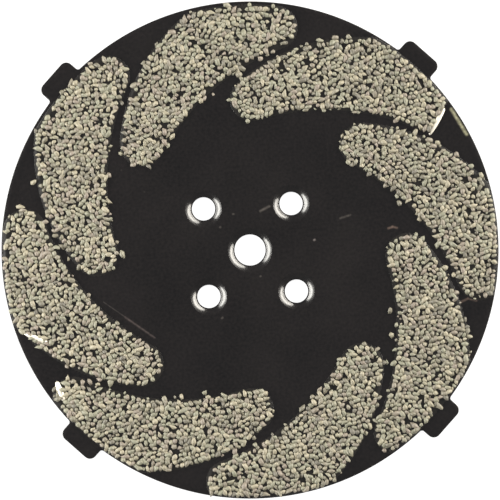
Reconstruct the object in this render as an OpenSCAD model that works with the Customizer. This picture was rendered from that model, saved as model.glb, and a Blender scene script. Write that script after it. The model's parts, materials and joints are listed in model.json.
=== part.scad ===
// Grit-faced carving disc for an angle grinder's backing pad, in millimetres.
// A blanked steel plate has four rim lugs and five pressed, countersunk screw holes. Its face
// carries eight swirls of crushed carbide grit, each held in its own thin bed of braze.
// +Z is the grit side. The origin is on the disc's axis, level with the tips of the pressed holes.

/* [Backing plate] */
// Diameter of the steel disc, without its lugs
disc_d = 152.4; // [145:0.1:160]
// Thickness of the steel sheet
sheet_t = 1.5; // [1.2:0.1:1.8]

/* [Rim lugs] */
// Number of driving lugs around the rim
lug_count = 4; // [2:1:4]
// Width of a lug along the rim
lug_w = 12.7; // [9:0.1:16]
// Height of a lug beyond the rim
lug_h = 4.8; // [3:0.1:6]
// Radius of a lug's outer corners
lug_corner_r = 2.2; // [1:0.1:2.8]
// Fillet where a lug meets the rim
lug_root_r = 0.9; // [0.4:0.1:1.4]

/* [Screw holes] */
// Diameter of the centre hole
centre_hole_d = 9.525; // [8:0.1:10]
// Diameter of the recess pressed around the centre hole
centre_dish_d = 13.8; // [13:0.1:14.6]
// Number of screw holes around the centre hole
screw_count = 4; // [2:1:4]
// Diameter of each screw hole
screw_hole_d = 7.14; // [5.5:0.1:7.5]
// Diameter of the recess pressed around each screw hole
screw_dish_d = 11.4; // [11:0.1:12.6]
// Diameter of the circle that the screw holes lie on
bolt_circle_d = 38.1; // [36:0.1:42]
// Depth that each hole is pressed down to take a flat screw head
dish_depth = 1.2; // [1:0.1:1.4]

/* [Grit swirls] */
// Number of grit swirls around the disc
swirl_count = 8; // [4:1:8]
// Radius of the round stencil that the braze paste was spread through
stencil_r = 76.3; // [72:0.1:77]
// Sideways error of the stencil on the disc, along X
stencil_dx = 0.5; // [-1:0.1:1]
// Sideways error of the stencil on the disc, along Y
stencil_dy = -1.5; // [-2:0.1:0]
// Radius of a swirl's hollow side
hollow_r = 68.8; // [66:0.1:70]
// Radius of a swirl's crowned side
crown_r = 55.9; // [54:0.1:57]
// Radius of a swirl's inner tip
inner_tip_r = 6.6; // [5:0.1:6.8]
// Radius of a swirl's outer tip
outer_tip_r = 6.4; // [5:0.1:6.8]
// Radius of the corner between the crowned side and the rim
heel_r = 2.5; // [1:0.1:4]

/* [Layers] */
// Thickness of the braze bed
braze_t = 0.3; // [0.2:0.05:0.4]
// Width of bare braze around the grit
braze_margin = 0.4; // [0.2:0.05:0.6]
// Height of the grit above the braze bed
grit_h = 1; // [0.7:0.05:1.3]
// Width of bare steel kept at the rim
rim_clear = 0.3; // [0.1:0.05:0.8]

/* [Hidden] */
$fn = 96;

disc_r = disc_d / 2;
face_z = dish_depth + sheet_t;
lug_angle = 360 / lug_count;
first_lug = 45;

// A lug's root runs on into the disc, so that its corners lie inside the rim
root_slope = 22;
root_run = 4;

// A pressed hole's section: the flat lip around the hole, and the bends on the two faces
lip_w = 0.5;
front_shoulder_r = 1.1;
front_lip_r = 0.5;
back_shoulder_r = 0.4;
back_lip_r = 1.2;
bend_step = 15;

// Arc centres of a swirl's two long sides, from the stencil's centre, as distance and bearing
hollow_centre = polar(33.2, -95.5);
crown_centre = polar(34.3, -30.5);
swirl_pitch = 360 / swirl_count;
outline_step = 2;

// Overlaps that keep the edges of joined and cut solids apart
overlap = 1;
hair = 0.01;

function polar(r, a) = [r * cos(a), r * sin(a)];
function bearing(v) = atan2(v.y, v.x);

// The angle equal to a that comes next after from, going anticlockwise
function after(a, from) = a + 360 * ceil((from - a) / 360);

// Points along an arc about c
function arc(c, r, from, to, step) =
    let (n = max(2, ceil(abs(to - from) / step)))
    [for (i = [0 : n]) c + polar(r, from + (to - from) * i / n)];

// Points along an arc about c, spaced by a length along the arc
function long_arc(c, r, from, to, length) = arc(c, r, from, to, length / r * 180 / PI);

// Where two circles cross: the crossing on the left of the line from c0 to c1
function crossing(c0, r0, c1, r1) =
    let (
        d = norm(c1 - c0),
        along = (d * d + r0 * r0 - r1 * r1) / (2 * d),
        aside = sqrt(r0 * r0 - along * along)
    )
    c0 + (c1 - c0) / d * along + [c0.y - c1.y, c1.x - c0.x] / d * aside;

// A corner of a closed outline, rounded to its radius; each corner is [x, y, radius]
function rounded_corner(before, here, next) =
    let (
        p = [here.x, here.y],
        u = ([before.x, before.y] - p) / norm([before.x, before.y] - p),
        v = ([next.x, next.y] - p) / norm([next.x, next.y] - p),
        half = acos(u * v) / 2,
        c = p + (u + v) / norm(u + v) * here.z / sin(half),
        start = bearing(p + u * here.z / tan(half) - c),
        turn = bearing(p + v * here.z / tan(half) - c) - start,
        sweep = turn > 180 ? turn - 360 : turn < -180 ? turn + 360 : turn
    )
    here.z == 0 ? [p] : arc(c, here.z, start, start + sweep, bend_step);

function rounded_outline(corners) =
    let (n = len(corners))
    [
        for (i = [0 : n - 1])
            each rounded_corner(corners[(i + n - 1) % n], corners[i], corners[(i + 1) % n])
    ];

// One lug, standing on the +Y point of the rim, with its root fillets running down into the disc
module lug() {
    side = lug_w / 2;
    tip_y = disc_r + lug_h;
    root_y = sqrt(disc_r * disc_r - side * side);
    foot = [side + root_run, root_y - root_run * tan(root_slope)];
    linear_extrude(sheet_t)
        polygon(rounded_outline([
            [foot.x, foot.y, 0],
            [side, root_y, lug_root_r],
            [side, tip_y, lug_corner_r],
            [-side, tip_y, lug_corner_r],
            [-side, root_y, lug_root_r],
            [-foot.x, foot.y, 0]
        ]));
}

// Places its children at the centre of every outer screw hole
module at_screw_holes() {
    for (i = [0 : screw_count - 1])
        rotate(first_lug + i * 360 / screw_count)
            translate([bolt_circle_d / 2, 0, 0])
                children();
}

// The cup that a pressed hole pushes out below the flat sheet
module pressed_cup(hole_d, dish_d) {
    lip_r = hole_d / 2 + lip_w;
    lean = atan(dish_depth / (dish_d / 2 - lip_r));
    back_shift = sheet_t * tan(lean / 2);
    cup_r = dish_d / 2 + back_shift;
    rotate_extrude()
        polygon(rounded_outline([
            [0, 0, 0],
            [lip_r + back_shift, 0, back_lip_r],
            [cup_r, dish_depth + hair, back_shoulder_r],
            [cup_r + overlap, dish_depth + hair, 0],
            [cup_r + overlap, dish_depth + sheet_t / 2, 0],
            [0, dish_depth + sheet_t / 2, 0]
        ]));
}

// The hollow of a pressed hole on the grit side, with its bore
module pressed_hollow(hole_d, dish_d) {
    rotate_extrude()
        polygon(rounded_outline([
            [0, sheet_t, 0],
            [hole_d / 2 + lip_w, sheet_t, front_lip_r],
            [dish_d / 2, face_z + hair, front_shoulder_r],
            [dish_d / 2 + overlap, face_z + hair, 0],
            [dish_d / 2 + overlap, face_z + overlap, 0],
            [0, face_z + overlap, 0]
        ]));
    translate([0, 0, -overlap])
        cylinder(d = hole_d, h = face_z);
}

module backing_plate() {
    color("#28262a")
    difference() {
        union() {
            translate([0, 0, dish_depth]) {
                cylinder(r = disc_r, h = sheet_t, $fn = 360);
                for (i = [0 : lug_count - 1])
                    rotate(first_lug - 90 + i * lug_angle)
                        lug();
            }
            pressed_cup(centre_hole_d, centre_dish_d);
            at_screw_holes() pressed_cup(screw_hole_d, screw_dish_d);
        }
        pressed_hollow(centre_hole_d, centre_dish_d);
        at_screw_holes() pressed_hollow(screw_hole_d, screw_dish_d);
    }
}

// Outline of one swirl about the stencil's centre, grown outwards by grow
function swirl_points(grow) =
    let (
        rim = stencil_r + grow,
        hollow = hollow_r - grow,
        crown = crown_r + grow,
        tip = inner_tip_r + grow,
        toe = outer_tip_r + grow,
        heel = heel_r + grow,
        tip_c = crossing(hollow_centre, hollow + tip, crown_centre, crown - tip),
        toe_c = crossing([0, 0], rim - toe, hollow_centre, hollow + toe),
        heel_c = crossing([0, 0], rim - heel, crown_centre, crown - heel),
        toe_a = bearing(toe_c),
        heel_a = after(bearing(heel_c), toe_a),
        crown_a = after(bearing(heel_c - crown_centre), heel_a),
        tip_a = after(bearing(tip_c - crown_centre), crown_a),
        tip_end = after(bearing(hollow_centre - tip_c), tip_a),
        hollow_from = bearing(tip_c - hollow_centre),
        hollow_to = bearing(toe_c - hollow_centre),
        toe_start = bearing(hollow_centre - toe_c)
    )
    concat(
        long_arc([0, 0], rim, toe_a, heel_a, outline_step),
        arc(heel_c, heel, heel_a, crown_a, bend_step),
        long_arc(crown_centre, crown, crown_a, tip_a, outline_step),
        arc(tip_c, tip, tip_a, tip_end, bend_step),
        long_arc(hollow_centre, hollow, hollow_from, hollow_to, outline_step),
        arc(toe_c, toe, toe_start, after(toe_a, toe_start), bend_step)
    );

// One swirl's layer, number i, kept inside the rim
module swirl_layer(i, z, thickness, grow) {
    translate([0, 0, z])
        linear_extrude(thickness)
            intersection() {
                circle(disc_r - rim_clear, $fn = 360);
                translate([stencil_dx, stencil_dy])
                    rotate((i - 1) * swirl_pitch)
                        polygon(swirl_points(grow));
            }
}

module braze_bed(i) {
    color("#3b3835")
        swirl_layer(i, face_z, braze_t, braze_margin);
}

module carbide_grit(i) {
    color("#bdb8a4")
        swirl_layer(i, face_z + braze_t, grit_h, 0);
}

backing_plate();
for (i = [1 : swirl_count]) {
    braze_bed(i);
    carbide_grit(i);
}
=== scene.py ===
"""Angle grinder carving disc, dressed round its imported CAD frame.

A pressed steel disc in black stoving enamel carries eight swirls of crushed carbide grit, each
set in its own bed of braze. The classes hold their sizes in millimetres, and every mesh is made
in metres, in the frame's own axes.
"""

import json
import logging
import math
import random
from collections.abc import Callable, Iterable, Sequence
from dataclasses import dataclass, field
from enum import Enum
from functools import partial

import bmesh
import bpy
from mathutils import Matrix, Vector
from mathutils.geometry import delaunay_2d_cdt
from mathutils.kdtree import KDTree

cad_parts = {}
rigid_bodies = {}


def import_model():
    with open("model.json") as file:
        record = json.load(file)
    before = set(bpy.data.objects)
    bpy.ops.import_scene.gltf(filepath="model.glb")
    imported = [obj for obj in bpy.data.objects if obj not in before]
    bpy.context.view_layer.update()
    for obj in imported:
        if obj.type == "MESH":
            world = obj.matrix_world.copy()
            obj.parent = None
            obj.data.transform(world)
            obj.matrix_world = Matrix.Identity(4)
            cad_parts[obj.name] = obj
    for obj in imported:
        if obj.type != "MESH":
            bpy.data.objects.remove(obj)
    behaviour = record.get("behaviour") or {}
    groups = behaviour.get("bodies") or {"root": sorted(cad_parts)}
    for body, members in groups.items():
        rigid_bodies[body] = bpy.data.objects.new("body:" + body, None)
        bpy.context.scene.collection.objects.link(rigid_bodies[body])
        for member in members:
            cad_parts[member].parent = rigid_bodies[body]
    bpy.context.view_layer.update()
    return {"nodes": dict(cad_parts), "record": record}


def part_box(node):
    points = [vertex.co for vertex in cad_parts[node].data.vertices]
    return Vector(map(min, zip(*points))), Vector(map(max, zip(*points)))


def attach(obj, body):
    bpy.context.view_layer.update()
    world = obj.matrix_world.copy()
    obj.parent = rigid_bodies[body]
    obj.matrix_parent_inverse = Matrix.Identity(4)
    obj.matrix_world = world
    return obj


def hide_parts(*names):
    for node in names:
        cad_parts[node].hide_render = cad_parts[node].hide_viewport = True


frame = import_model()

log = logging.getLogger("carving_disc")

MM = 0.001
WELD = 0.002 * MM
BODY = "root"

# A flat fill keeps inside its outlines, and its points closer than this many millimetres are one
FILL_INSIDE = 1
FILL_SNAP = 1e-5

# Rows of a staggered grid lie this far apart, and its points keep this clear of an outline, both
# as shares of its spacing
ROW_PITCH = math.sqrt(0.75)
GRID_CLEARANCE = 0.6

# An upright stretch leans by less than this
UPRIGHT_SLOPE = 0.6

# Short names for types: a closed ring of vertices, a path's corner as (across, up, radius), and
# what adds a node to one tree
Object = bpy.types.Object
Material = bpy.types.Material
Socket = bpy.types.NodeSocket
Ring = list[bmesh.types.BMVert]
Corner = tuple[float, float, float]
Adder = Callable[..., bpy.types.Node]

# Attributes that the meshes carry for the finishes
RUBBED = "rubbed"
TONE = "tone"
COVER = "cover"


class Slot(Enum):
    """The record's material slots."""

    ENAMEL = "enamelled_steel"
    BRAZE = "braze"
    GRIT = "carbide_grit"


# ---------------------------------------------------------------------------------------------
# Points and outlines


def polar(radius: float, bearing: float, height: float = 0.0) -> Vector:
    """Returns the point at a radius and a bearing in degrees, all lengths in the caller's unit."""
    angle = math.radians(bearing)
    return Vector((radius * math.cos(angle), radius * math.sin(angle), height))


def rounded_path(corners: Sequence[Corner], steps: int, hold: float) -> list[Vector]:
    """Rounds the corners of an open path in a plane.

    Args:
        corners: Corners as (across, up, radius); the two ends have radius 0.
        steps: Straight steps in each bend.
        hold: Length of straight kept beside each bend, so that the flats shade flat.

    Returns:
        The path's points, from the first corner to the last.
    """
    path = [Vector(corners[0][:2])]
    for before, here, after in zip(corners, corners[1:], corners[2:]):
        corner, radius = Vector(here[:2]), here[2]
        back = (Vector(before[:2]) - corner).normalized()
        on = (Vector(after[:2]) - corner).normalized()
        half = back.angle(on) / 2
        centre = corner + (back + on).normalized() * radius / math.sin(half)
        first = corner + back * radius / math.tan(half) - centre
        last = corner + on * radius / math.tan(half) - centre
        sweep = first.angle(last)
        path.append(centre + first + back * hold)
        for step in range(steps + 1):
            share = step / steps
            spoke = first * math.sin((1 - share) * sweep) + last * math.sin(share * sweep)
            path.append(centre + spoke / math.sin(sweep))
        path.append(centre + last + on * hold)
    path.append(Vector(corners[-1][:2]))
    return path


def upright(path: Sequence[Vector]) -> list[float]:
    """Returns 1 for each point of a path that lies on an upright stretch, and 0 for the others."""
    steps = [after - before for before, after in zip(path, path[2:])]
    return [0.0] + [1.0 if abs(step.x) < abs(step.y) * UPRIGHT_SLOPE else 0.0 for step in steps] + [0.0]


def top_outline(node: str, spacing: float) -> list[Vector]:
    """Reads the outline of a CAD node's top face.

    Args:
        node: Name of a node with one flat top face.
        spacing: Distance between the points that come back, in metres.

    Returns:
        Evenly spaced points in the plane, anticlockwise.
    """
    solid = bmesh.new()
    solid.from_mesh(frame["nodes"][node].data)
    bmesh.ops.remove_doubles(solid, verts=solid.verts, dist=WELD)
    top = max(vert.co.z for vert in solid.verts)
    flat = {face for face in solid.faces if all(top - vert.co.z < WELD for vert in face.verts)}
    border = [edge for edge in solid.edges if sum(face in flat for face in edge.link_faces) == 1]
    beside: dict[int, Ring] = {}
    for edge in border:
        for vert in edge.verts:
            beside.setdefault(vert.index, []).append(edge.other_vert(vert))
    start = border[0].verts[0]
    loop, last, here = [start], start, beside[start.index][0]
    while here is not start:
        loop.append(here)
        last, here = here, next(vert for vert in beside[here.index] if vert is not last)
    points = [vert.co.to_2d() for vert in loop]
    solid.free()
    area = sum(a.cross(b) for a, b in zip(points, points[1:] + points[:1]))
    if area < 0:
        points.reverse()
    return even_loop(points, spacing)


def even_loop(points: Sequence[Vector], spacing: float) -> list[Vector]:
    """Spaces the points of a closed outline evenly.

    Args:
        points: The outline's points, in order.
        spacing: Distance wanted between points.

    Returns:
        The new points, which start at the first old one.
    """
    ends = list(points[1:]) + [points[0]]
    lengths = [(b - a).length for a, b in zip(points, ends)]
    count = round(sum(lengths) / spacing)
    step = sum(lengths) / count
    placed, walked, wanted = [], 0.0, 0.0
    for start, end, length in zip(points, ends, lengths):
        while wanted < walked + length and len(placed) < count:
            placed.append(start.lerp(end, (wanted - walked) / length))
            wanted += step
        walked += length
    return placed


def outward(points: Sequence[Vector]) -> list[Vector]:
    """Returns the outward normals of a closed anticlockwise outline, one for each point."""
    count = len(points)
    along = [points[(i + 1) % count] - points[i - 1] for i in range(count)]
    return [Vector((step.y, -step.x)).normalized() for step in along]


def grown(points: Sequence[Vector], by: float, limit: float = math.inf) -> list[Vector]:
    """Grows an outline.

    Args:
        points: Closed anticlockwise outline.
        by: Distance outwards, or inwards where it is negative.
        limit: Radius about the disc's axis that no point may pass.

    Returns:
        The grown outline, point for point.
    """
    moved = [point + normal * by for point, normal in zip(points, outward(points))]
    return [point * min(1.0, limit / point.length) for point in moved]


# ---------------------------------------------------------------------------------------------
# Skins


def put_in_scene(name: str, data: bpy.types.ID) -> Object:
    """Puts a new object with this data into the scene, at the origin, and returns it."""
    piece = bpy.data.objects.new(name, data)
    bpy.context.scene.collection.objects.link(piece)
    return piece


class Skin:
    """A mesh that is built up from closed rings of points."""

    def __init__(self, mark: str | None = None) -> None:
        """Starts an empty skin.

        Args:
            mark: Name of a number that every vertex carries for the finishes.
        """
        self.mesh = bmesh.new()
        self.layer = self.mesh.verts.layers.float.new(mark) if mark else None

    def mark(self, ring: Iterable[bmesh.types.BMVert], value: float) -> None:
        """Sets the number that a ring's vertices carry."""
        for vert in ring:
            vert[self.layer] = value

    def ring(self, points: Iterable[Vector], height: float | None = None) -> Ring:
        """Adds a closed ring of vertices.

        Args:
            points: Points in space, or in the plane where a height is given.
            height: Height of a flat ring.

        Returns:
            The ring's vertices, in order.
        """
        if height is not None:
            points = [Vector((point.x, point.y, height)) for point in points]
        ring = [self.mesh.verts.new(point) for point in points]
        for here, after in zip(ring, ring[1:] + ring[:1]):
            self.mesh.edges.new((here, after))
        return ring

    def strip(self, rings: Sequence[Ring]) -> None:
        """Joins each ring to the next one with a band of four-sided faces."""
        for lower, upper in zip(rings, rings[1:]):
            for i in range(len(lower)):
                self.mesh.faces.new((lower[i - 1], lower[i], upper[i], upper[i - 1]))

    def fill(self, rings: Sequence[Ring], grid: float = 0.0) -> None:
        """Fills the flat area between an outer ring and the rings that lie inside it.

        Args:
            rings: The outer ring, and then the inner ones.
            grid: Spacing of the even points that the fill takes inside, in metres; 0 for none.
        """
        known = [vert for ring in rings for vert in ring]
        areas, first = [], 0
        for ring in rings:
            areas.append(list(range(first, first + len(ring))))
            first += len(ring)
        places = [vert.co.to_2d() / MM for vert in known]
        places += self.clear_spots(places, grid / MM) if grid else []
        spots, _, faces, sources, _, inside = delaunay_2d_cdt(places, [], areas, FILL_INSIDE, FILL_SNAP)
        kept = [face for face, within in zip(faces, inside) if within == [0]]
        height = known[0].co.z
        corners = {}
        for i in {corner for face in kept for corner in face}:
            ringed = [source for source in sources[i] if source < len(known)]
            place = (spots[i].x * MM, spots[i].y * MM, height)
            corners[i] = known[ringed[0]] if ringed else self.mesh.verts.new(place)
        for face in kept:
            self.mesh.faces.new([corners[i] for i in face])

    @staticmethod
    def clear_spots(places: Sequence[Vector], grid: float) -> list[Vector]:
        """Lays an even staggered grid over some points, clear of every one of them.

        Args:
            places: Points in the plane, the outermost of which bound the grid.
            grid: Spacing of the grid.

        Returns:
            The grid's points.
        """
        tree = KDTree(len(places))
        for i, place in enumerate(places):
            tree.insert(place.to_3d(), i)
        tree.balance()
        reach = max(place.length for place in places)
        rows = round(reach / (grid * ROW_PITCH))
        columns = round(reach / grid)
        spots = [
            Vector(((column + row % 2 / 2) * grid, row * grid * ROW_PITCH))
            for row in range(-rows, rows + 1)
            for column in range(-columns, columns + 1)
        ]
        return [spot for spot in spots if tree.find(spot.to_3d())[2] > grid * GRID_CLEARANCE]

    def piece(self, name: str, smooth: bool = True) -> Object:
        """Makes the skin an object of the scene.

        Args:
            name: Name of the object and of its mesh.
            smooth: Whether the faces shade smoothly.

        Returns:
            The object, at the origin.
        """
        bmesh.ops.recalc_face_normals(self.mesh, faces=self.mesh.faces)
        data = bpy.data.meshes.new(name)
        self.mesh.to_mesh(data)
        self.mesh.free()
        data.shade_smooth() if smooth else data.shade_flat()
        return put_in_scene(name, data)


def dress(piece: Object, material: Material) -> None:
    """Gives a piece its finish and makes it ride with the disc.

    Args:
        piece: The finished piece.
        material: Its material.
    """
    piece.data.materials.clear()
    piece.data.materials.append(material)
    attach(piece, BODY)


# ---------------------------------------------------------------------------------------------
# Finishes


def linear(colour: str) -> tuple[float, float, float, float]:
    """Turns an sRGB hex colour such as "#2a2827" to linear light, with full alpha."""
    shares = [int(colour[i : i + 2], 16) / 255 for i in (1, 3, 5)]
    red, green, blue = (s / 12.92 if s <= 0.04045 else ((s + 0.055) / 1.055) ** 2.4 for s in shares)
    return red, green, blue, 1.0


def add_node(
    tree: bpy.types.NodeTree, kind: str, inputs: dict | None = None, **settings: object
) -> bpy.types.Node:
    """Adds one node with its settings and links.

    Args:
        tree: Tree that takes the node.
        kind: Blender's name for the node's type.
        inputs: For each input, by name or number, its value or the socket that feeds it.
        **settings: The node's own properties.

    Returns:
        The new node.
    """
    node = tree.nodes.new(kind)
    for name, value in settings.items():
        setattr(node, name, value)
    for key, value in (inputs or {}).items():
        if isinstance(value, Socket):
            tree.links.new(value, node.inputs[key])
        else:
            node.inputs[key].default_value = value
    return node


def pitch(size: float) -> float:
    """Returns the texture scale that makes a pattern's cells this many millimetres wide."""
    return 1 / (size * MM)


def new_material(name: str) -> tuple[Material, Adder]:
    """Starts a material with an empty tree.

    Args:
        name: The material's name.

    Returns:
        The material, and what adds a node to its tree.
    """
    material = bpy.data.materials.new(name)
    material.use_nodes = True
    material.node_tree.nodes.clear()
    return material, partial(add_node, material.node_tree)


@dataclass(frozen=True)
class ScratchAndHighlight:
    """A straight line painted on the enamel, from one place on the face to another, in millimetres: a
    hairline scratch, and in one case a painted highlight of the rolled rim.
    """

    start: tuple[float, float]
    end: tuple[float, float]
    width: float
    depth: float
    colour: str = "#55504c"

    def mask(self, add: Adder, place: Socket, height: float) -> Socket:
        """Draws the mark.

        Args:
            add: What adds a node to the enamel's tree.
            place: Object coordinates.
            height: Height of the face that is marked, in metres.

        Returns:
            A socket that is the mark's depth along its middle and 0 away from it.
        """
        start = Vector((self.start[0] * MM, self.start[1] * MM, height))
        end = Vector((self.end[0] * MM, self.end[1] * MM, height))
        run = end - start
        away = add("ShaderNodeVectorMath", {0: place, 1: start}, operation="SUBTRACT")
        share = add(
            "ShaderNodeVectorMath",
            {0: away.outputs[0], 1: run / run.length_squared},
            operation="DOT_PRODUCT",
        )
        held = add("ShaderNodeClamp", {"Value": share.outputs["Value"]})
        foot = add("ShaderNodeVectorMath", {0: run, "Scale": held.outputs[0]}, operation="SCALE")
        gap = add("ShaderNodeVectorMath", {0: away.outputs[0], 1: foot.outputs[0]}, operation="DISTANCE")
        line = add(
            "ShaderNodeMapRange",
            {
                "Value": gap.outputs["Value"],
                "From Max": self.width * MM / 2,
                "To Min": self.depth,
                "To Max": 0.0,
            },
            interpolation_type="SMOOTHSTEP",
        )
        return line.outputs[0]


@dataclass(frozen=True)
class StovingEnamel:
    """Black stoving enamel, sprayed thin over the pressed steel and baked.

    The eye gets a near-black face with a soft gloss. Its tone drifts a little over a few
    centimetres, its skin has a fine orange peel, dust has baked into it, hairline scratches cross
    it, and the cut edges are rubbed through to the steel in places. A pale line just inside the rim
    is a painted highlight, standing in for the light on the rolled edge.
    """

    black: str = "#030203"
    worn_black: str = "#151212"
    dust: str = "#55504c"
    steel: str = "#5f5d5a"
    drift: float = 19.0
    mottle: float = 0.55
    mottle_range: tuple[float, float] = (0.3, 0.7)
    peel: float = 0.9
    dust_gap: float = 12.0
    dust_radius: float = 0.5
    dust_core: float = 0.4
    dust_depth: float = 0.5
    wear_grain: float = 1.6
    wear: tuple[float, float] = (0.6, 0.7)
    peel_strength: float = 0.35
    peel_height: float = 0.008
    roughness: tuple[float, float] = (0.16, 0.24)
    ior: float = 1.5
    scratches_and_highlight: tuple[ScratchAndHighlight, ...] = (
        ScratchAndHighlight((-45.8, -13.1), (-30.6, -25.1), 0.6, 0.6, "#46413f"),
        ScratchAndHighlight((-39.4, -18.2), (-31.0, -24.9), 1.1, 0.6, "#4f4543"),
        ScratchAndHighlight((42.7, 4.0), (44.0, 4.4), 1.2, 0.9, "#5f5048"),
        ScratchAndHighlight((44.0, 4.4), (45.3, 4.0), 1.2, 0.9, "#5f5048"),
        ScratchAndHighlight((63.6, -19.9), (65.8, -18.9), 1.2, 0.9, "#5f5048"),
        ScratchAndHighlight((65.8, -18.9), (68.2, -19.7), 1.2, 0.9, "#5f5048"),
        ScratchAndHighlight((3.9, 11.7), (6.7, 13.0), 1.3, 0.8),
        ScratchAndHighlight((28.2, 8.0), (31.3, 8.8), 1.1, 0.6),
        ScratchAndHighlight((-9.9, -20.3), (-9.7, -20.2), 1.1, 0.9),
        ScratchAndHighlight((-4.5, 11.3), (-4.3, 11.3), 1.0, 0.6),
        ScratchAndHighlight((19.8, 1.8), (20.0, 1.9), 1.1, 1.3, "#6b6462"),
        ScratchAndHighlight((2.6, -8.3), (2.8, -8.2), 0.9, 0.8),
        # Painted highlight, not a scratch: a pale line just inside the rim that stands in for the light
        # reflected by the rolled edge
        ScratchAndHighlight((68.4, 31.3), (64.2, 39.2), 1.7, 1.3, "#8d8b72"),
    )

    def material(self, face: float) -> Material:
        """Builds the finish.

        Args:
            face: Height of the grit side's face, in metres.

        Returns:
            The material.
        """
        material, add = new_material("black_stoving_enamel")
        place = add("ShaderNodeTexCoord").outputs["Object"]
        drift = add("ShaderNodeTexNoise", {"Vector": place, "Scale": pitch(self.drift), "Detail": 4.0})
        peel = add("ShaderNodeTexNoise", {"Vector": place, "Scale": pitch(self.peel), "Detail": 2.0})
        colour = self._marked(add, place, face, drift, peel)
        edge = add("ShaderNodeAttribute", attribute_name=RUBBED)
        grain = add("ShaderNodeTexNoise", {"Vector": place, "Scale": pitch(self.wear_grain), "Detail": 3.0})
        chance = add(
            "ShaderNodeMath", {0: edge.outputs["Fac"], 1: grain.outputs["Fac"]}, operation="MULTIPLY"
        )
        kept, gone = self.wear
        bare = add("ShaderNodeMapRange", {"Value": chance.outputs[0], "From Min": kept, "From Max": gone})
        skin = add(
            "ShaderNodeMix",
            {"Factor": bare.outputs[0], "A": colour, "B": linear(self.steel)},
            data_type="RGBA",
        )
        low, high = self.roughness
        gloss = add("ShaderNodeMapRange", {"Value": drift.outputs["Fac"], "To Min": low, "To Max": high})
        height, strength = self.peel_height * MM, self.peel_strength
        bump = add(
            "ShaderNodeBump", {"Height": peel.outputs["Fac"], "Strength": strength, "Distance": height}
        )
        shader = add(
            "ShaderNodeBsdfPrincipled",
            {
                "Base Color": skin.outputs["Result"],
                "Metallic": bare.outputs[0],
                "Roughness": gloss.outputs[0],
                "Normal": bump.outputs[0],
                "IOR": self.ior,
            },
        )
        add("ShaderNodeOutputMaterial", {"Surface": shader.outputs[0]})
        return material

    def _marked(
        self, add: Adder, place: Socket, face: float, drift: bpy.types.Node, peel: bpy.types.Node
    ) -> Socket:
        """Mixes the enamel's own tone, and then its dust, its hairline scratches and a painted highlight
        line along the rim.

        Args:
            add: What adds a node to the tree.
            place: Object coordinates.
            face: Height of the grit side's face, in metres.
            drift: Slow noise.
            peel: Fine noise.

        Returns:
            The socket with the colour.
        """
        mottle = add(
            "ShaderNodeMix",
            {"Factor": self.mottle, "A": drift.outputs["Fac"], "B": peel.outputs["Fac"]},
            data_type="FLOAT",
        )
        low, high = self.mottle_range
        spread = add("ShaderNodeMapRange", {"Value": mottle.outputs[0], "From Min": low, "From Max": high})
        tone = add(
            "ShaderNodeMix",
            {"Factor": spread.outputs[0], "A": linear(self.black), "B": linear(self.worn_black)},
            data_type="RGBA",
        )
        dust = add("ShaderNodeTexVoronoi", {"Vector": place, "Scale": pitch(self.dust_gap)}, feature="F1")
        radius = self.dust_radius / self.dust_gap
        speck = add(
            "ShaderNodeMapRange",
            {
                "Value": dust.outputs["Distance"],
                "From Min": radius * self.dust_core,
                "From Max": radius,
                "To Min": self.dust_depth,
                "To Max": 0.0,
            },
        )
        marks = [(speck.outputs[0], self.dust)]
        marks += [(line_mark.mask(add, place, face), line_mark.colour) for line_mark in self.scratches_and_highlight]
        colour = tone.outputs["Result"]
        for mark, pale in marks:
            broken = add("ShaderNodeMath", {0: mark, 1: peel.outputs["Fac"]}, operation="MULTIPLY")
            marked = add(
                "ShaderNodeMix",
                {"Factor": broken.outputs[0], "A": colour, "B": linear(pale)},
                data_type="RGBA",
            )
            colour = marked.outputs["Result"]
        return colour


@dataclass(frozen=True)
class SetBraze:
    """Braze that has melted and set: soft patches of two tones under a rippled skin."""

    name: str
    tones: tuple[str, str]
    patch: float
    patch_detail: float
    ripple: float
    ripple_detail: float
    ripple_strength: float
    ripple_height: float
    shine: tuple[tuple[str, float], ...]

    def material(self) -> Material:
        """Builds the finish and returns the material."""
        material, add = new_material(self.name)
        place = add("ShaderNodeTexCoord").outputs["Object"]
        patterns = ((self.patch, self.patch_detail), (self.ripple, self.ripple_detail))
        patch, ripple = (
            add("ShaderNodeTexNoise", {"Vector": place, "Scale": pitch(size), "Detail": detail})
            for size, detail in patterns
        )
        first, second = (linear(tone) for tone in self.tones)
        tone = add(
            "ShaderNodeMix", {"Factor": patch.outputs["Fac"], "A": first, "B": second}, data_type="RGBA"
        )
        height, strength = self.ripple_height * MM, self.ripple_strength
        bump = add(
            "ShaderNodeBump", {"Height": ripple.outputs["Fac"], "Strength": strength, "Distance": height}
        )
        inputs = {"Base Color": tone.outputs["Result"], "Normal": bump.outputs[0], **dict(self.shine)}
        shader = add("ShaderNodeBsdfPrincipled", inputs)
        add("ShaderNodeOutputMaterial", {"Surface": shader.outputs[0]})
        return material


# Run thin and gone dark with flux and enamel: a near-black, slightly lumpy film, glossier than a
# dry surface
BRAZE_FILM = SetBraze(
    name="flowed_black_braze",
    tones=("#0d0c0b", "#1c1916"),
    patch=2.2,
    patch_detail=3.0,
    ripple=0.7,
    ripple_detail=1.0,
    ripple_strength=0.6,
    ripple_height=0.08,
    shine=(("Roughness", 0.3), ("IOR", 1.5)),
)

# Nickel braze that ran out past the grit and froze into a small bead with a satin, slightly wrinkled
# skin. Its near-white tones are a painted glint, standing in for the light that the bead's edge reflects
BRAZE_PAINTED_GLINT = SetBraze(
    name="bare_nickel_braze",
    tones=("#f0ebde", "#d2ccbe"),
    patch=0.5,
    patch_detail=2.0,
    ripple=0.5,
    ripple_detail=2.0,
    ripple_strength=0.4,
    ripple_height=0.05,
    shine=(("Metallic", 0.4), ("Roughness", 0.42)),
)


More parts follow.
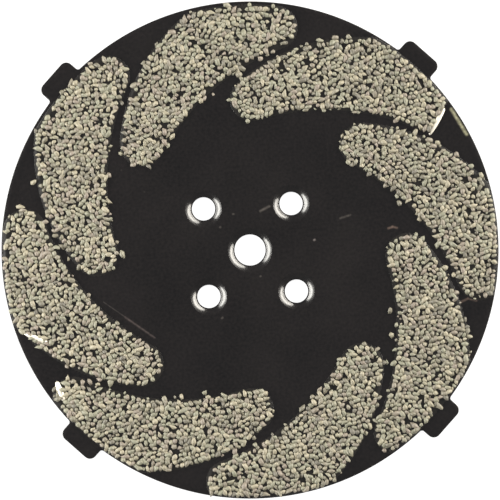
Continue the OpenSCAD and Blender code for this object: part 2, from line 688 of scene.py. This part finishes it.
@dataclass(frozen=True)
class CrushedCarbide:
    """Tungsten carbide, crushed and screened to about 1.5 mm, and left bare.

    The eye gets hard warm-grey chips with broken faces. Each chip has its own tone, some a
    little pink and some a little green, and its faces carry a fine grain.
    """

    tones: tuple[str, ...] = ("#59554b", "#6c6858", "#776d62", "#797766", "#757463", "#837d6a", "#8f8875")
    fleck: float = 0.28
    fleck_share: float = 0.18
    fleck_strength: float = 0.3
    fleck_height: float = 0.06
    roughness: tuple[float, float] = (0.48, 0.7)
    ior: float = 1.65

    def material(self) -> Material:
        """Builds the finish and returns the material."""
        material, add = new_material("crushed_tungsten_carbide")
        place = add("ShaderNodeTexCoord").outputs["Object"]
        tone = add("ShaderNodeAttribute", attribute_name=TONE)
        ramp = add("ShaderNodeValToRGB", {"Fac": tone.outputs["Fac"]})
        stops = ramp.color_ramp.elements
        ready = len(stops)
        for i, colour in enumerate(self.tones):
            place_on_ramp = i / (len(self.tones) - 1)
            stop = stops[i] if i < ready else stops.new(place_on_ramp)
            stop.position = place_on_ramp
            stop.color = linear(colour)
        fleck = add("ShaderNodeTexNoise", {"Vector": place, "Scale": pitch(self.fleck), "Detail": 2.0})
        speckled = add(
            "ShaderNodeMix",
            {"Factor": self.fleck_share, "A": ramp.outputs["Color"], "B": fleck.outputs["Fac"]},
            data_type="RGBA",
            blend_type="OVERLAY",
        )
        low, high = self.roughness
        gloss = add("ShaderNodeMapRange", {"Value": fleck.outputs["Fac"], "To Min": low, "To Max": high})
        bump = add(
            "ShaderNodeBump",
            {
                "Height": fleck.outputs["Fac"],
                "Strength": self.fleck_strength,
                "Distance": self.fleck_height * MM,
            },
        )
        shader = add(
            "ShaderNodeBsdfPrincipled",
            {
                "Base Color": speckled.outputs["Result"],
                "Roughness": gloss.outputs[0],
                "Normal": bump.outputs[0],
                "IOR": self.ior,
            },
        )
        add("ShaderNodeOutputMaterial", {"Surface": shader.outputs[0]})
        return material


# ---------------------------------------------------------------------------------------------
# The backing plate


@dataclass
class PressedHole:
    """A hole pressed down into a countersunk cup, so that a flat screw head sits below the grit."""

    centre: Vector
    hole_r: float
    dish_d: float
    lip_w: float = 0.3
    front_shoulder_r: float = 0.8
    belly: float = 0.09
    belly_r: float = 7.0
    front_lip_r: float = 0.5
    back_shoulder_r: float = 0.4
    back_lip_r: float = 1.2
    edge_r: float = 0.1
    hold: float = 0.03
    reach: float = 1.2
    bend_steps: int = 6
    segments: int = 96

    def profile(self, face: float, back: float) -> list[Vector]:
        """Works out the hole's section.

        Args:
            face: Height of the plate's grit side, in millimetres.
            back: Height of its back, in millimetres.

        Returns:
            Points as (radius, height) in millimetres, from the face through the bore to the back.
        """
        sheet = face - back
        lip_r = self.hole_r + self.lip_w
        lean = math.atan2(back, self.dish_d / 2 - lip_r)
        shift = sheet * math.tan(lean / 2)
        cup_r = self.dish_d / 2 + shift
        bulge = Vector((math.sin(lean), math.cos(lean))) * self.belly
        middle = Vector((self.dish_d / 2 + lip_r, face + sheet)) / 2 - bulge * Vector((1, -1))
        corners = [
            (cup_r + self.reach, face, 0),
            (self.dish_d / 2, face, self.front_shoulder_r),
            (middle.x, middle.y, self.belly_r),
            (lip_r, sheet, self.front_lip_r),
            (self.hole_r, sheet, self.edge_r),
            (self.hole_r, 0, self.edge_r),
            (lip_r + shift, 0, self.back_lip_r),
            (cup_r, back, self.back_shoulder_r),
            (cup_r + self.reach, back, 0),
        ]
        return rounded_path(corners, self.bend_steps, self.hold)

    def build(self, skin: Skin, face: float, back: float) -> list[Ring]:
        """Adds the hole to the plate's skin and returns its rings, from the face to the back."""
        turns = [polar(1.0, 360 * i / self.segments).to_2d() for i in range(self.segments)]
        path = self.profile(face, back)
        rings = []
        for point, rubbed in zip(path, upright(path)):
            ring = skin.ring([self.centre + turn * point.x * MM for turn in turns], point.y * MM)
            skin.mark(ring, rubbed)
            rings.append(ring)
        skin.strip(rings)
        return rings


@dataclass
class BackingPlate:
    """The pressed steel disc, with its driving lugs, its screw holes and its sheared rim."""

    enamel: StovingEnamel
    node: str = "backing_plate"
    name: str = "backing_plate_enamelled"
    lug_w: float = 12.7
    lug_corner_r: float = 2.2
    lug_root_r: float = 0.9
    first_lug: float = 45.0
    lug_count: int = 4
    rim_step: float = 1.0
    bend_steps: int = 8
    roll_w: float = 1.1
    roll_drop: float = 0.28
    roll_bend_r: float = 2.6
    burr_r: float = 0.16
    hold: float = 0.05
    centre_dish_d: float = 13.8
    screw_dish_d: float = 11.4
    grid: float = 4.0

    def __post_init__(self) -> None:
        """Takes the plate's main sizes and its hole places from the frame."""
        low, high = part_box(self.node)
        self.mounts = {mount["name"]: mount for mount in frame["record"]["mounts"]}
        self.face = high.z / MM
        self.back = self.mounts["back_face"]["pos_m"][2] / MM
        self.disc_r = (high.x - low.x) / 2 / MM
        points = (vert.co for vert in frame["nodes"][self.node].data.vertices)
        self.tip_y = max(polar(1, self.first_lug).dot(point) for point in points) / MM

    def half_lug(self) -> list[tuple[Vector, Vector]]:
        """Works out the right half of a lug that stands on the +Y axis.

        Returns:
            Points with their outward normals, from the rim to the middle of the lug's tip.
        """
        side = self.lug_w / 2
        root = Vector((side + self.lug_root_r, 0.0))
        root.y = math.sqrt((self.disc_r + self.lug_root_r) ** 2 - root.x**2)
        corner = Vector((side - self.lug_corner_r, self.tip_y - self.lug_corner_r))
        start = math.degrees(math.atan2(-root.y, -root.x)) + 360
        half = []
        for step in range(self.bend_steps + 1):
            spoke = polar(1.0, start + (180 - start) * step / self.bend_steps).to_2d()
            half.append((root + spoke * self.lug_root_r, -spoke))
        for step in range(self.bend_steps + 1):
            spoke = polar(1.0, 90 * step / self.bend_steps).to_2d()
            half.append((corner + spoke * self.lug_corner_r, spoke))
        return half

    def outline(self) -> list[tuple[Vector, Vector]]:
        """Returns the rim's points and outward normals, anticlockwise, in millimetres."""
        half = self.half_lug()
        mirror = Vector((-1, 1))
        lug = half + [(point * mirror, normal * mirror) for point, normal in reversed(half)]
        root_angle = math.degrees(math.atan2(half[0][0].x, half[0][0].y))
        between = 360 / self.lug_count - 2 * root_angle
        steps = round(between / self.rim_step)
        rim = []
        for i in range(self.lug_count):
            bearing = self.first_lug + 360 * i / self.lug_count
            turn = Matrix.Rotation(math.radians(bearing - 90), 2)
            rim += [(turn @ point, turn @ normal) for point, normal in lug]
            for step in range(1, steps):
                spoke = polar(1.0, bearing + root_angle + between * step / steps).to_2d()
                rim.append((spoke * self.disc_r, spoke))
        return rim

    def edge(self) -> list[Vector]:
        """Returns the rim's section as (inset, height) in millimetres, from the face to the back."""
        corners = [
            (self.roll_w * 2, self.face, 0),
            (self.roll_w, self.face, self.roll_bend_r),
            (0, self.face - self.roll_drop, self.burr_r),
            (0, self.back, self.burr_r),
            (self.roll_w * 2, self.back, 0),
        ]
        return rounded_path(corners, self.bend_steps // 2, self.hold)

    def holes(self) -> list[PressedHole]:
        """Returns the centre hole and the screw holes, at the places that the record gives."""
        centre, screws = self.mounts["centre_hole"], self.mounts["screw_holes"]["dims"]
        away, screw_r, count = screws["pcd_mm"] / 2 * MM, screws["hole_r_mm"], screws["count"]
        places = [polar(away, self.first_lug + 360 * i / count).to_2d() for i in range(count)]
        middle = PressedHole(Vector((0, 0)), centre["dims"]["r_mm"], self.centre_dish_d)
        return [middle] + [PressedHole(place, screw_r, self.screw_dish_d) for place in places]

    def build(self) -> Object:
        """Builds and dresses the plate.

        Returns:
            The enamelled plate.
        """
        skin = Skin(RUBBED)
        outline, path = self.outline(), self.edge()
        rim = []
        for spot, rubbed in zip(path, upright(path)):
            ring = skin.ring([(point - normal * spot.x) * MM for point, normal in outline], spot.y * MM)
            skin.mark(ring, rubbed)
            rim.append(ring)
        skin.strip(rim)
        holes = [hole.build(skin, self.face, self.back) for hole in self.holes()]
        skin.fill([rim[0]] + [rings[0] for rings in holes], self.grid * MM)
        skin.fill([rim[-1]] + [rings[-1] for rings in holes], self.grid * MM)
        plate = skin.piece(self.name)
        dress(plate, self.enamel.material(self.face * MM))
        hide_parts(self.node)
        return plate


# ---------------------------------------------------------------------------------------------
# Braze and grit


@dataclass(frozen=True)
class BrazeRun:
    """A bead of braze that ran out past the grit, whose finish paints a glint on it; its places are radius
    and bearing.

    A bead that cuts also pulls its swirl back to its own line.
    """

    bed: int
    start: tuple[float, float]
    end: tuple[float, float]
    width: float
    height: float = 0.75
    cuts: bool = False
    sides: int = 12
    rings: int = 12
    bluntness: float = 0.85

    def build(self, bright: Material, face: float) -> Object:
        """Builds the bead.

        Args:
            bright: Its material; not used.
            face: Height of the plate's face, in metres.

        Returns:
            The bead, lying on the plate.
        """
        start, end = (polar(radius * MM, bearing, face) for radius, bearing in (self.start, self.end))
        along = end - start
        across = Vector((along.y, -along.x, 0)).normalized() * self.width * MM / 2
        up = Vector((0, 0, self.height * MM))
        skin = Skin()
        rings = []
        for i in range(1, self.rings):
            turn = math.pi * i / self.rings
            middle = start + along * (1 - math.cos(turn)) / 2
            swell = math.sin(turn) ** self.bluntness
            spokes = [2 * math.pi * k / self.sides for k in range(self.sides)]
            reaches = [across * math.cos(s) + up * max(math.sin(s), 0.0) for s in spokes]
            rings.append(skin.ring([middle + reach * swell for reach in reaches]))
        skin.strip(rings)
        for ring in (rings[0], rings[-1]):
            skin.mesh.faces.new(ring)
        return skin.piece(f"braze_run_{self.bed}_{round(self.start[1])}")

    def cut(self, edge: Sequence[Vector]) -> list[Vector]:
        """Pulls an outline back to the bead's line, where it passes the bead.

        Args:
            edge: A swirl's outline.

        Returns:
            The outline, point for point.
        """
        start, end = (polar(radius * MM, bearing).to_2d() for radius, bearing in (self.start, self.end))
        along = (end - start).normalized()
        across = Vector((along.y, -along.x))
        middle = sum(edge, Vector((0, 0))) / len(edge)
        if across.dot(middle - start) > 0:
            across.negate()
        return [point - across * max(0.0, across.dot(point - start)) for point in edge]


@dataclass
class BrazeBed:
    """One swirl's thin bed of braze, with a rounded, wandering edge.

    The meniscus is the edge's section, as distance inwards and share of the bed's thickness.
    """

    number: int
    film: Material
    runs: Sequence[BrazeRun] = ()
    spacing: float = 0.5
    wander: float = 0.25
    waves: int = 5
    wave_sizes: tuple[float, float] = (0.3, 1.0)
    wave_counts: tuple[float, float] = (90.0, 180.0)
    wave_phases: tuple[float, float] = (0.0, 6.28)
    meniscus: tuple[tuple[float, float], ...] = (
        (-0.2, -0.07),
        (0.0, 0.03),
        (0.15, 0.12),
        (0.35, 0.3),
        (0.6, 0.6),
        (0.85, 0.85),
        (1.1, 1.0),
        (1.25, 1.0),
    )

    @property
    def node(self) -> str:
        """The CAD node that this bed stands for."""
        return f"braze_bed_{self.number}"

    def build(self) -> Object:
        """Builds and dresses the bed.

        Returns:
            The bed.
        """
        low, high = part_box(self.node)
        draw = random.Random(self.number)
        edge = top_outline(self.node, self.spacing * MM)
        for run in self.runs:
            edge = run.cut(edge)
        ranges = (self.wave_sizes, self.wave_counts, self.wave_phases)
        waves = [tuple(draw.uniform(*ends) for ends in ranges) for _ in range(self.waves)]
        total = sum(size for size, _, _ in waves)
        normals = outward(edge)
        wavy = []
        for i, (point, normal) in enumerate(zip(edge, normals)):
            share = 2 * math.pi * i / len(edge)
            swing = sum(size * math.sin(round(rate) * share + start) for size, rate, start in waves) / total
            wavy.append(point - normal * self.wander * MM * (1 + swing))
        skin = Skin()
        thick = high.z - low.z
        rings = [
            skin.ring(grown(wavy, -inset * MM), low.z + share * thick) for inset, share in self.meniscus
        ]
        skin.strip(rings)
        skin.fill([rings[0]])
        skin.fill([rings[-1]])
        bed = skin.piece(f"{self.node}_flowed")
        dress(bed, self.film)
        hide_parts(self.node)
        return bed


@dataclass
class GrainSet:
    """The crushed chips that the scatter draws from: broken lumps and longer splinters."""

    count: int = 12
    points: int = 22
    width: float = 1.6
    longest: float = 2.0
    flatness: float = 0.66
    jag: tuple[float, float] = (0.8, 1.08)
    seed: int = 11

    def build(self) -> bpy.types.Collection:
        """Builds the chips, each a convex lump about its own middle, and returns their collection."""
        chips = bpy.data.collections.new("carbide_chips")
        draw = random.Random(self.seed)
        for i in range(self.count):
            length = self.width * (1 + (self.longest - 1) * i / (self.count - 1))
            radii = Vector((length, self.width, self.width * self.flatness)) * MM / 2
            lump = bmesh.new()
            for _ in range(self.points):
                spot = Vector([draw.gauss(0, 1) for _ in range(3)]).normalized()
                lump.verts.new(spot * radii * draw.uniform(*self.jag))
            bmesh.ops.convex_hull(lump, input=lump.verts)
            loose = [vert for vert in lump.verts if not vert.link_faces]
            bmesh.ops.delete(lump, geom=loose, context="VERTS")
            bmesh.ops.recalc_face_normals(lump, faces=lump.faces)
            data = bpy.data.meshes.new(f"chip_{i}")
            lump.to_mesh(data)
            lump.free()
            chips.objects.link(bpy.data.objects.new(f"chip_{i}", data))
        return chips


# Places of the float sockets on the random value node, which has a set for each data type
RANDOM_LOW = 2
RANDOM_HIGH = 3
RANDOM_OUT = 1


class ScatterInput(Enum):
    """Named inputs of the scatter's tree, each with its socket type."""

    GROUND = ("Ground", "NodeSocketGeometry")
    CHIPS = ("Chips", "NodeSocketCollection")
    KINDS = ("Kinds of chip", "NodeSocketInt")
    GAP = ("Least gap between middles", "NodeSocketFloat")
    CROWD = ("Most chips per square metre", "NodeSocketFloat")
    SMALLEST = ("Smallest scale", "NodeSocketFloat")
    LARGEST = ("Largest scale", "NodeSocketFloat")
    TILT = ("Largest tilt", "NodeSocketFloat")
    LIFT = ("Largest lift", "NodeSocketFloat")
    TIP = ("Height of the highest tip", "NodeSocketFloat")
    FINISH = ("Finish", "NodeSocketMaterial")
    SEED = ("Seed", "NodeSocketInt")


class ScatterTree:
    """Geometry Nodes that scatter crushed chips over a ground, thinned by its cover attribute."""

    def __init__(self) -> None:
        """Builds the tree."""
        self.tree = bpy.data.node_groups.new("scattered_grit", "GeometryNodeTree")
        sides = self.tree.interface
        self.sockets = {
            entry: sides.new_socket(entry.value[0], in_out="INPUT", socket_type=entry.value[1])
            for entry in ScatterInput
        }
        sides.new_socket("Grit", in_out="OUTPUT", socket_type="NodeSocketGeometry")
        self.add = partial(add_node, self.tree)
        self.given = self.add("NodeGroupInput").outputs
        grains = self._dressed(self._limited(self._grains(self._points())))
        self.add("NodeGroupOutput", {"Grit": grains})

    def socket(self, entry: ScatterInput) -> Socket:
        """Returns the socket inside the tree that gives an input's value."""
        return self.given[entry.value[0]]

    def chance(self, salt: int, low: float | Socket, high: float | Socket) -> Socket:
        """Draws a random number for each point or instance.

        Args:
            salt: Number added to the seed, so that draws differ.
            low: Least value, or a socket that gives it.
            high: Most, or a socket that gives it.

        Returns:
            The socket with the value.
        """
        seed = self.add(
            "ShaderNodeMath", {0: self.socket(ScatterInput.SEED), 1: float(salt)}, operation="ADD"
        )
        limits = {RANDOM_LOW: low, RANDOM_HIGH: high, "Seed": seed.outputs[0]}
        return self.add("FunctionNodeRandomValue", limits, data_type="FLOAT").outputs[RANDOM_OUT]

    def _points(self) -> Socket:
        """Scatters points no closer than the least gap, and lifts each a little."""
        cover = self.add("GeometryNodeInputNamedAttribute", {"Name": COVER}, data_type="FLOAT")
        spread = self.add(
            "GeometryNodeDistributePointsOnFaces",
            {
                "Mesh": self.socket(ScatterInput.GROUND),
                "Distance Min": self.socket(ScatterInput.GAP),
                "Density Max": self.socket(ScatterInput.CROWD),
                "Density Factor": cover.outputs["Attribute"],
                "Seed": self.socket(ScatterInput.SEED),
            },
            distribute_method="POISSON",
        )
        lift = self.chance(1, 0.0, self.socket(ScatterInput.LIFT))
        up = self.add("ShaderNodeCombineXYZ", {"Z": lift})
        moved = self.add(
            "GeometryNodeSetPosition", {"Geometry": spread.outputs["Points"], "Offset": up.outputs[0]}
        )
        return moved.outputs[0]

    def _grains(self, points: Socket) -> Socket:
        """Puts a chip on every point, turned, tilted and scaled at random, and gives it a tone."""
        chips = self.add(
            "GeometryNodeCollectionInfo",
            {
                "Collection": self.socket(ScatterInput.CHIPS),
                "Separate Children": True,
                "Reset Children": True,
            },
        )
        pick = self.chance(2, 0.0, self.socket(ScatterInput.KINDS))
        tilt = self.chance(3, -1.0, 1.0)
        roll = self.chance(4, -1.0, 1.0)
        tipped = [
            self.add("ShaderNodeMath", {0: turn, 1: self.socket(ScatterInput.TILT)}, operation="MULTIPLY")
            for turn in (tilt, roll)
        ]
        yaw = self.chance(5, 0.0, 2 * math.pi)
        scale = self.chance(6, self.socket(ScatterInput.SMALLEST), self.socket(ScatterInput.LARGEST))
        turned = self.add(
            "ShaderNodeCombineXYZ", {"X": tipped[0].outputs[0], "Y": tipped[1].outputs[0], "Z": yaw}
        )
        placed = self.add(
            "GeometryNodeInstanceOnPoints",
            {
                "Points": points,
                "Instance": chips.outputs[0],
                "Pick Instance": True,
                "Instance Index": pick,
                "Rotation": turned.outputs[0],
                "Scale": scale,
            },
        )
        toned = self.add(
            "GeometryNodeStoreNamedAttribute",
            {"Geometry": placed.outputs[0], "Name": TONE, "Value": self.chance(7, 0.0, 1.0)},
            data_type="FLOAT",
            domain="INSTANCE",
        )
        return toned.outputs[0]

    def _limited(self, instances: Socket) -> Socket:
        """Makes the chips real and levels any tip that stands too high."""
        real = self.add("GeometryNodeRealizeInstances", {"Geometry": instances})
        place = self.add("GeometryNodeInputPosition")
        split = self.add("ShaderNodeSeparateXYZ", {0: place.outputs[0]})
        height = self.add(
            "ShaderNodeMath", {0: split.outputs["Z"], 1: self.socket(ScatterInput.TIP)}, operation="MINIMUM"
        )
        level = self.add(
            "ShaderNodeCombineXYZ",
            {"X": split.outputs["X"], "Y": split.outputs["Y"], "Z": height.outputs[0]},
        )
        held = self.add(
            "GeometryNodeSetPosition", {"Geometry": real.outputs[0], "Position": level.outputs[0]}
        )
        return held.outputs[0]

    def _dressed(self, grains: Socket) -> Socket:
        """Gives the chips their finish."""
        dressed = self.add(
            "GeometryNodeSetMaterial", {"Geometry": grains, "Material": self.socket(ScatterInput.FINISH)}
        )
        return dressed.outputs[0]

    def grow(self, ground: Object, name: str, values: dict[ScatterInput, object]) -> Object:
        """Scatters chips over a ground and keeps the result as a plain mesh.

        Args:
            ground: The ground; it is deleted.
            name: Name of the new piece.
            values: A value for each input but the ground.

        Returns:
            The grit.
        """
        modifier = ground.modifiers.new("scatter", "NODES")
        modifier.node_group = self.tree
        for entry, value in values.items():
            modifier[self.sockets[entry].identifier] = value
        depsgraph = bpy.context.evaluated_depsgraph_get()
        data = bpy.data.meshes.new_from_object(ground.evaluated_get(depsgraph), depsgraph=depsgraph)
        data.name = name
        data.shade_smooth()
        bpy.data.objects.remove(ground)
        return put_in_scene(name, data)


@dataclass(frozen=True)
class ChipLayer:
    """One size of chip in a swirl, with its lengths in millimetres."""

    name: str
    gap: float
    scales: tuple[float, float]
    lift: float
    share: float
    salt: int


@dataclass
class GritSwirl:
    """One swirl of crushed carbide, with fines between its chips, a ragged edge and a few strays.

    The cover thins the chips towards the edge. It is given as distance outwards from the swirl's
    outline, share of the braze's thickness that the chips stand on, and share of chips that stay.
    """

    number: int
    scatter: ScatterTree
    chips: bpy.types.Collection
    carbide: Material
    runs: Sequence[BrazeRun] = ()
    spacing: float = 1.0
    layers: tuple[ChipLayer, ...] = (
        ChipLayer("chips", 1.18, (0.8, 1.2), 0.34, 1.0, 0),
        ChipLayer("fines", 0.85, (0.4, 0.65), 0.06, 0.25, 50),
    )
    crowd: float = 6.0e6
    tilt: float = 25.0
    rim_gap: float = 0.9
    cover: tuple[tuple[float, float, float], ...] = (
        (-1.3, 1.0, 0.97),
        (-0.9, 1.0, 0.85),
        (-0.35, 0.6, 0.55),
        (0.5, 0.0, 0.03),
        (2.4, 0.0, 0.0),
    )

    @property
    def node(self) -> str:
        """The CAD node that this grit stands for."""
        return f"carbide_grit_{self.number}"

    def ground(self, share: float) -> Object:
        """Builds the ground that the chips are scattered over.

        Its height follows the braze inside the swirl and the plate outside, and its cover attribute
        is the share of chips that stay.

        Args:
            share: Cover of a layer that is thinned all over.

        Returns:
            The ground.
        """
        low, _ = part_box(self.node)
        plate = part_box(f"braze_bed_{self.number}")[0].z
        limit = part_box("backing_plate")[1].x - self.rim_gap * MM
        edge = top_outline(self.node, self.spacing * MM)
        for run in self.runs:
            edge = run.cut(edge)
        skin = Skin(COVER)
        rings = []
        for offset, height, cover in self.cover:
            ring = skin.ring(grown(edge, offset * MM, limit), plate + (low.z - plate) * height)
            skin.mark(ring, cover * share)
            rings.append(ring)
        skin.strip(rings)
        skin.fill([rings[0]])
        return skin.piece(f"{self.node}_ground")

    def build(self) -> list[Object]:
        """Builds and dresses the swirl.

        Returns:
            The grit, as one plain mesh for each layer.
        """
        pieces = []
        for layer in self.layers:
            values = {
                ScatterInput.CHIPS: self.chips,
                ScatterInput.KINDS: len(self.chips.objects),
                ScatterInput.GAP: layer.gap * MM,
                ScatterInput.CROWD: self.crowd,
                ScatterInput.SMALLEST: layer.scales[0],
                ScatterInput.LARGEST: layer.scales[1],
                ScatterInput.TILT: math.radians(self.tilt),
                ScatterInput.LIFT: layer.lift * MM,
                ScatterInput.TIP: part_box(self.node)[1].z,
                ScatterInput.FINISH: self.carbide,
                ScatterInput.SEED: self.number + layer.salt,
            }
            grit = self.scatter.grow(self.ground(layer.share), f"{self.node}_{layer.name}", values)
            dress(grit, self.carbide)
            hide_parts(self.node)
            pieces.append(grit)
        return pieces


# ---------------------------------------------------------------------------------------------
# The studio


@dataclass(frozen=True)
class Softbox:
    """A soft light that faces the disc, placed by bearing and elevation in degrees.

    Its spread and its rise are half angles seen from the disc, in degrees, and its distance is in
    metres.
    """

    name: str
    bearing: float
    elevation: float
    spread: float
    rise: float
    radiance: float
    colour: str = "#ffffff"
    distance: float = 1.2

    def place(self) -> None:
        """Puts the light in the scene, with the power that gives its radiance."""
        data = bpy.data.lights.new(self.name, "AREA")
        data.shape = "ELLIPSE"
        data.size = 2 * self.distance * math.tan(math.radians(self.spread))
        data.size_y = 2 * self.distance * math.tan(math.radians(self.rise))
        data.energy = self.radiance * math.pi * (math.pi / 4 * data.size * data.size_y)
        data.color = linear(self.colour)[:3]
        light = put_in_scene(self.name, data)
        flat = self.distance * math.cos(math.radians(self.elevation))
        light.location = polar(flat, self.bearing, self.distance * math.sin(math.radians(self.elevation)))
        light.rotation_euler = light.location.to_track_quat("Z", "Y").to_euler()
        light.visible_camera = False


@dataclass
class Studio:
    """A pale light table, soft lights low on two sides, and a camera straight above.

    The table's radius is in metres. The camera's lens, sensor and picture width are in millimetres.
    """

    roll: float = 3.55
    lens: float = 150.0
    sensor: float = 36.0
    frame_w: float = 153.13
    clip_ratio: float = 100.0
    table_r: float = 3.0
    table_white: str = "#ffffff"
    table_grey: str = "#6e6e6d"
    table_glow: float = 0.95
    table_roughness: float = 0.6
    table_sides: int = 72
    surround: float = 1.0
    dimness: float = 0.36
    lights: tuple[Softbox, ...] = (
        Softbox("right_softbox", 24.5, 23.0, 44.0, 7.6, 27.0, "#fffaf0", 1.0),
        Softbox("left_softbox", 176.5, 23.0, 38.0, 7.6, 27.0, "#fffdf6", 0.6),
    )

    def build(self) -> None:
        """Sets up the table, the surround, the lights and the camera."""
        self.table()
        self.world()
        for light in self.lights:
            light.place()
        self.camera()
        view = bpy.context.scene.view_settings
        view.view_transform = "Standard"
        view.look = "None"

    def table(self) -> None:
        """Lays the glowing white table that the disc rests on."""
        skin = Skin()
        rim = [polar(self.table_r, 360 * i / self.table_sides) for i in range(self.table_sides)]
        skin.mesh.faces.new(skin.ring(rim))
        table = skin.piece("light_table", smooth=False)
        material, add = new_material("opal_acrylic")
        shader = add(
            "ShaderNodeBsdfPrincipled",
            {
                "Base Color": linear(self.table_grey),
                "Roughness": self.table_roughness,
                "Emission Color": linear(self.table_white),
                "Emission Strength": self.table_glow,
            },
        )
        add("ShaderNodeOutputMaterial", {"Surface": shader.outputs[0]})
        table.data.materials.append(material)

    def world(self) -> None:
        """Makes the room dim, with a pale surround where the camera looks straight at it."""
        world = bpy.data.worlds.new("studio")
        world.use_nodes = True
        world.node_tree.nodes.clear()
        add = partial(add_node, world.node_tree)
        seen = add("ShaderNodeLightPath").outputs["Is Camera Ray"]
        level = add("ShaderNodeMapRange", {"Value": seen, "To Min": self.dimness, "To Max": self.surround})
        sky = add("ShaderNodeBackground", {"Color": linear(self.table_white), "Strength": level.outputs[0]})
        add("ShaderNodeOutputWorld", {"Surface": sky.outputs[0]})
        bpy.context.scene.world = world

    def camera(self) -> None:
        """Hangs the camera straight above the disc's axis, turned a little about it."""
        data = bpy.data.cameras.new("camera")
        data.lens = self.lens
        data.sensor_width = self.sensor
        away = self.frame_w * MM * self.lens / self.sensor
        data.clip_start, data.clip_end = away / self.clip_ratio, away * self.clip_ratio
        camera = put_in_scene("camera", data)
        camera.location = (0, 0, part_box("backing_plate")[1].z + away)
        camera.rotation_euler = (0, 0, math.radians(-self.roll))
        bpy.context.scene.camera = camera


# ---------------------------------------------------------------------------------------------
# The disc


@dataclass
class CarvingDisc:
    """The whole disc: its plate, its braze and its grit."""

    runs: tuple[BrazeRun, ...] = (
        BrazeRun(2, (73.8, 32.6), (65.2, 29.1), 1.6, 0.6, cuts=True),
        BrazeRun(5, (74.0, 196.4), (67.6, 201.6), 1.7, 1.0),
        BrazeRun(6, (71.6, 210.6), (73.4, 215.6), 2.2, 1.0),
    )
    pieces: list[Object] = field(default_factory=list)

    def build(self) -> None:
        """Builds every piece of the disc and reports each one."""
        plate = BackingPlate(StovingEnamel())
        self.pieces.append(plate.build())
        film, bright = BRAZE_FILM.material(), BRAZE_PAINTED_GLINT.material()
        carbide = CrushedCarbide().material()
        count = sum(name.startswith("carbide_grit_") for name in frame["nodes"])
        scatter, chips = ScatterTree(), GrainSet().build()
        for number in range(1, count + 1):
            runs = [run for run in self.runs if run.cuts and run.bed == number]
            self.pieces.append(BrazeBed(number, film, runs).build())
            self.pieces += GritSwirl(number, scatter, chips, carbide, runs).build()
        for run in self.runs:
            bead = run.build(bright, plate.face * MM)
            dress(bead, bright)
            self.pieces.append(bead)
        for chip in list(chips.objects):
            bpy.data.objects.remove(chip)
        bpy.data.collections.remove(chips)
        for piece in self.pieces:
            log.info("%s: %d faces", piece.name, len(piece.data.polygons))


def main() -> None:
    """Builds the disc and the studio."""
    logging.basicConfig(level=logging.INFO, format="%(name)s: %(message)s")
    CarvingDisc().build()
    Studio().build()


if __name__ == "__main__":
    main()
